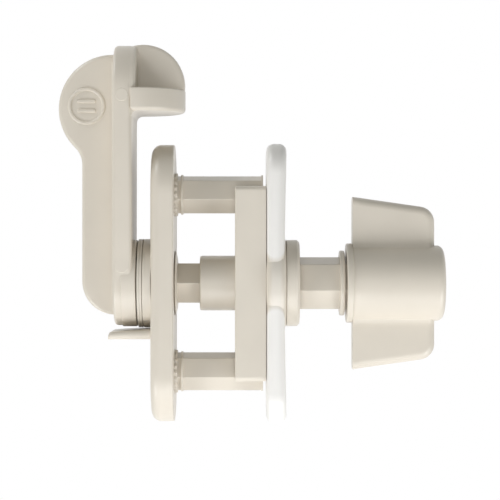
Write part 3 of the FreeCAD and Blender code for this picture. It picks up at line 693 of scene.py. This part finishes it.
class LATCH_OT_spindle(Operator):
    """Build the square spindle, its retaining ring and the drive sleeve"""
    bl_idname = "latch.spindle"
    bl_label = "Spindle and sleeve"

    def execute(self, context):
        steel = looks()["coated_steel"]
        square = sweep(polygon(4, SQUARE, SQUARE_CORNER, 90.0),
                       between(SQUARE_LEFT + SHARP, SQUARE_RIGHT - SQUARE_STOP_SHORT,
                               SHARP, SQUARE_CORNER), "X")
        piece("square_bar", [square], "spindle", "coated_steel", steel, "square_spindle")
        ring = sweep(circle(RING_R), np.array(RING_PROFILE), "X")
        piece("retaining_ring", [ring], "spindle", "coated_steel", steel, "spindle_retainer")
        tube = sweep(circle(SLEEVE_R),
                     between(SLEEVE_LEFT, SLEEVE_HEX_FROM, SLEEVE_EDGE, SLEEVE_SHOULDER), "X")
        hexagon = sweep(polygon(6, SLEEVE_HEX_AF, SLEEVE_CORNER, 90.0 - SLEEVE_TURN),
                        between(SLEEVE_HEX_FROM - SLEEVE_OVERLAP, SLEEVE_RIGHT - SLEEVE_STOP_SHORT,
                                SHARP, SHARP), "X")
        piece("drive_tube", [tube, hexagon], "spindle", "coated_steel", steel, "drive_sleeve")
        return {"FINISHED"}


def lug_tongue():
    """Tongue along X whose side edges are half circles of radius h, half its thickness.

    h grows evenly from tip to root. Over the tip, at r * (1 - cos t) from the end, it is less by
    r * (1 - sin t), where r is the tip's radius. The points of an edge lie at half the width
    - h * (1 - cos a) across, and at the underside + h * (1 + sin a) up.
    """
    share = np.linspace(0.0, 1.0, LUG_ROWS)
    run = LUG_LEFT + LUG_TIP_R + share * (LUG_ROOT - LUG_LEFT - LUG_TIP_R)
    thick = (LUG_TIP_HIGH + share * (LUG_ROOT_HIGH - LUG_TIP_HIGH) - LUG_LOW) / 2
    tip = np.radians(np.linspace(0.0, LUG_TIP_TURN, LUG_TIP_ROWS))
    run = np.concatenate([LUG_LEFT + LUG_TIP_R * (1 - np.cos(tip)), run])
    thick = np.concatenate([thick[0] - LUG_TIP_R * (1 - np.sin(tip)), thick])
    a = np.radians(np.linspace(-90.0, 90.0, LUG_EDGE_POINTS))
    right = np.stack([LUG_HALF_W - thick[:, None] * (1 - np.cos(a)),
                      LUG_LOW + thick[:, None] * (1 + np.sin(a))], 2)
    left = right[:, ::-1] * (-1.0, 1.0)
    flat = np.concatenate([right, left], 1)
    along = np.broadcast_to(run[:, None, None], flat.shape[:2] + (1,))
    rings = np.concatenate([along, flat], 2)
    return skin(rings, rings[[0, -1]].mean(1))


class LATCH_OT_lug(Operator):
    """Build the stop lug: a tongue that thins toward its rounded tip"""
    bl_idname = "latch.lug"
    bl_label = "Stop lug"

    def execute(self, context):
        piece("stop_tongue", [lug_tongue()], "lever_side", "coated_steel", looks()["coated_steel"],
              "stop_lug")
        return {"FINISHED"}


class LATCH_OT_finish(Operator):
    """Give every carried-over part its material"""
    bl_idname = "latch.finish_parts"
    bl_label = "Finish parts"

    def execute(self, context):
        for part in frame["record"]["subparts"]:
            node = frame["nodes"][part["node"]]
            node.data.materials.clear()
            own = looks().get(part["node"])
            node.data.materials.append(own or looks()[part["material_slot"]])
        return {"FINISHED"}


def stage_camera():
    """Camera square to the side of the latch, level with the centre of the view."""
    s = settings()
    camera = bpy.data.cameras.new("camera")
    camera.sensor_width = 36.0
    camera.lens = camera.sensor_width * s.camera_distance / s.view_height
    holder = bpy.data.objects.new("camera", camera)
    bpy.context.scene.collection.objects.link(holder)
    holder.location = (s.view_x, -s.camera_distance, s.view_z)
    holder.rotation_euler = (math.pi / 2, 0.0, 0.0)
    bpy.context.scene.camera = holder


def stage_world():
    """White backdrop: full in view and in reflections, dimmer as a light for dull surfaces."""
    world = bpy.data.worlds.new("studio")
    world.use_nodes = True
    tree = world.node_tree
    dim = tree.nodes["Background"]
    dim.inputs["Color"].default_value = (*settings().sky_colour, 1.0)
    dim.inputs["Strength"].default_value = settings().sky_light
    seen = tree.nodes.new("ShaderNodeBackground")
    seen.inputs["Color"].default_value = (1.0, 1.0, 1.0, 1.0)
    path = tree.nodes.new("ShaderNodeLightPath")
    mix = tree.nodes.new("ShaderNodeMixShader")
    tree.links.new(path.outputs["Is Diffuse Ray"], mix.inputs["Fac"])
    tree.links.new(seen.outputs["Background"], mix.inputs[1])
    tree.links.new(dim.outputs["Background"], mix.inputs[2])
    tree.links.new(mix.outputs["Shader"], tree.nodes["World Output"].inputs["Surface"])
    bpy.context.scene.world = world


def stage_floor():
    """Wide pale floor well below the latch."""
    s = settings()
    half = s.floor_size / 2
    drop = CAD_BOX[0][2] - s.floor_drop
    corners = np.array([(-1, -1), (1, -1), (1, 1), (-1, 1)]) * half
    mesh = bpy.data.meshes.new("floor")
    mesh.from_pydata([(x, y, drop) for x, y in corners], [], [(0, 1, 2, 3)])
    floor = bpy.data.objects.new("floor", mesh)
    bpy.context.scene.collection.objects.link(floor)
    mat, tree, bsdf = new_material("pale floor")
    bsdf.inputs["Base Color"].default_value = (0.8, 0.8, 0.8, 1.0)
    bsdf.inputs["Roughness"].default_value = 0.9
    bsdf.inputs["Emission Color"].default_value = (1.0, 1.0, 1.0, 1.0)
    path = tree.nodes.new("ShaderNodeLightPath")
    glow = tree.nodes.new("ShaderNodeMapRange")
    glow.inputs["To Min"].default_value = s.floor_light
    glow.inputs["To Max"].default_value = 0.0
    tree.links.new(path.outputs["Is Diffuse Ray"], glow.inputs["Value"])
    tree.links.new(glow.outputs["Result"], bsdf.inputs["Emission Strength"])
    mesh.materials.append(mat)


def soft_lamp(name, place, aim_at, size, power):
    """Square soft lamp, itself out of view, aimed at a point."""
    data = bpy.data.lights.new(name, "AREA")
    data.size = size
    data.energy = power
    data.color = settings().lamp_colour
    lamp = bpy.data.objects.new(name, data)
    bpy.context.scene.collection.objects.link(lamp)
    lamp.location = place
    aim = Vector(aim_at) - Vector(place)
    lamp.rotation_euler = aim.to_track_quat("-Z", "Y").to_euler()
    lamp.visible_camera = False


class LATCH_OT_stage(Operator):
    """Add the camera, the soft lights and the pale floor"""
    bl_idname = "latch.stage"
    bl_label = "Stage"

    def execute(self, context):
        s = settings()
        stage_camera()
        stage_world()
        stage_floor()
        middle = (s.view_x, 0.0, s.view_z)
        soft_lamp("key below", (0.0, -0.22, -0.22), middle, LAMP_SIZE, s.key_light)
        soft_lamp("low left", (-0.22, -0.14, -0.20), middle, LAMP_SIZE, s.low_light)
        soft_lamp("low right", (0.24, -0.14, -0.20), middle, LAMP_SIZE, s.low_light)
        soft_lamp("front fill", (0.0, -0.40, 0.02), middle, LAMP_SIZE, s.front_light)
        soft_lamp("head lamp", (-0.10, -0.04, 0.16), (-0.012, 0.0, 0.055), HEAD_LAMP_SIZE, s.head_light)
        context.scene.view_settings.view_transform = "Standard"
        return {"FINISHED"}


class LATCH_PT_panel(Panel):
    """Lists the settings and the steps that build the latch"""
    bl_label = "Gate latch"
    bl_idname = "LATCH_PT_panel"
    bl_space_type = "VIEW_3D"
    bl_region_type = "UI"
    bl_category = "Latch"

    def draw(self, context):
        for name in LatchSettings.__annotations__:
            self.layout.prop(settings(), name)
        for step in STEPS:
            self.layout.operator(step.bl_idname)


STEPS = (LATCH_OT_finish, LATCH_OT_lever, LATCH_OT_knob, LATCH_OT_posts, LATCH_OT_spindle, LATCH_OT_lug,
         LATCH_OT_stage)
CLASSES = (LatchSettings, *STEPS, LATCH_PT_panel)


def register():
    """Make the classes and settings known to Blender."""
    for cls in CLASSES:
        bpy.utils.register_class(cls)
    bpy.types.Scene.latch_settings = PointerProperty(type=LatchSettings)


def unregister():
    """Take the classes and settings away again."""
    del bpy.types.Scene.latch_settings
    for cls in reversed(CLASSES):
        bpy.utils.unregister_class(cls)


def main():
    """Build everything in order."""
    register()
    for step in STEPS:
        group, name = step.bl_idname.split(".")
        getattr(getattr(bpy.ops, group), name)()


if __name__ == "__main__":
    main()
